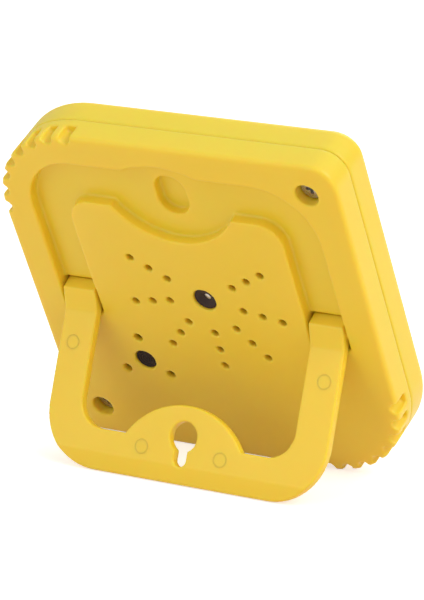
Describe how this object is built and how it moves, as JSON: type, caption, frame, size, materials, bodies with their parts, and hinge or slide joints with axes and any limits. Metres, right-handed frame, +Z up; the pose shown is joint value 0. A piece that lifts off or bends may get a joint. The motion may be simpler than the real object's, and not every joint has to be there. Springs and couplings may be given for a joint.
{
  "type": "sound level meter",
  "caption": "Square yellow desk sound level meter leaning on a fold-out U stand, with speaker and microphone openings in its back and a display and keys in front.",
  "frame": {"origin": "middle of the bounding box at table level, with the rear bottom edge and the stand's tip on the table", "axes": "+Z up, display facing -Y and leaning back, +X to the right as seen from the front"},
  "size_m": [0.0926, 0.055, 0.0876],
  "materials": {
    "yellow_plastic": "satin moulded",
    "clear_window": "clear polished",
    "lcd": "polished",
    "white_plastic": "matte",
    "board": "solder mask",
    "black_plastic": "matte",
    "steel": "bright zinc",
    "brass": "plain",
    "rubber": "matte",
    "key_red": "satin",
    "key_grey": "satin",
    "mesh": "fine mesh",
    "cell_sleeve": "printed sleeve",
    "magnet": "plain"
  },
  "bodies": {
    "case": {"rear_case": "yellow_plastic", "front_case": "yellow_plastic", "case_screws": "steel", "display_window": "clear_window", "lcd_glass": "lcd", "lcd_frame": "white_plastic", "lcd_pins": "steel", "main_board": "board", "board_screws": "steel", "controller_chip": "black_plastic", "board_capacitors": "black_plastic", "keypad_mat": "rubber", "speaker_frame": "steel", "speaker_cone": "black_plastic", "voice_coil": "brass", "speaker_magnet": "magnet", "speaker_screen": "mesh", "speaker_pins": "brass", "microphone_boot": "rubber", "microphone_capsule": "steel", "microphone_screen": "mesh", "microphone_leads": "steel", "battery_cells": "cell_sleeve", "battery_contacts": "steel"},
    "stand": {"stand": "yellow_plastic"},
    "button_power": {"button_power": "key_red"},
    "button_mode": {"button_mode": "key_grey"},
    "button_up": {"button_up": "key_grey"},
    "button_down": {"button_down": "key_grey"}
  },
  "joints": [
    {"name": "stand_hinge", "type": "hinge", "parent": "case", "child": "stand", "pos_m": [0, 0.00321, 0.03911], "axis": [1, 0, 0], "range_deg": [0, 133.8]},
    {"name": "button_power_press", "type": "slide", "parent": "case", "child": "button_power", "axis": [0, 0.8839, -0.4677], "range_m": [0, 0.0008], "stiffness_N_per_m": 800},
    {"name": "button_mode_press", "type": "slide", "parent": "case", "child": "button_mode", "axis": [0, 0.8839, -0.4677], "range_m": [0, 0.0008], "stiffness_N_per_m": 800},
    {"name": "button_up_press", "type": "slide", "parent": "case", "child": "button_up", "axis": [0, 0.8839, -0.4677], "range_m": [0, 0.0008], "stiffness_N_per_m": 800},
    {"name": "button_down_press", "type": "slide", "parent": "case", "child": "button_down", "axis": [0, 0.8839, -0.4677], "range_m": [0, 0.0008], "stiffness_N_per_m": 800}
  ]
}
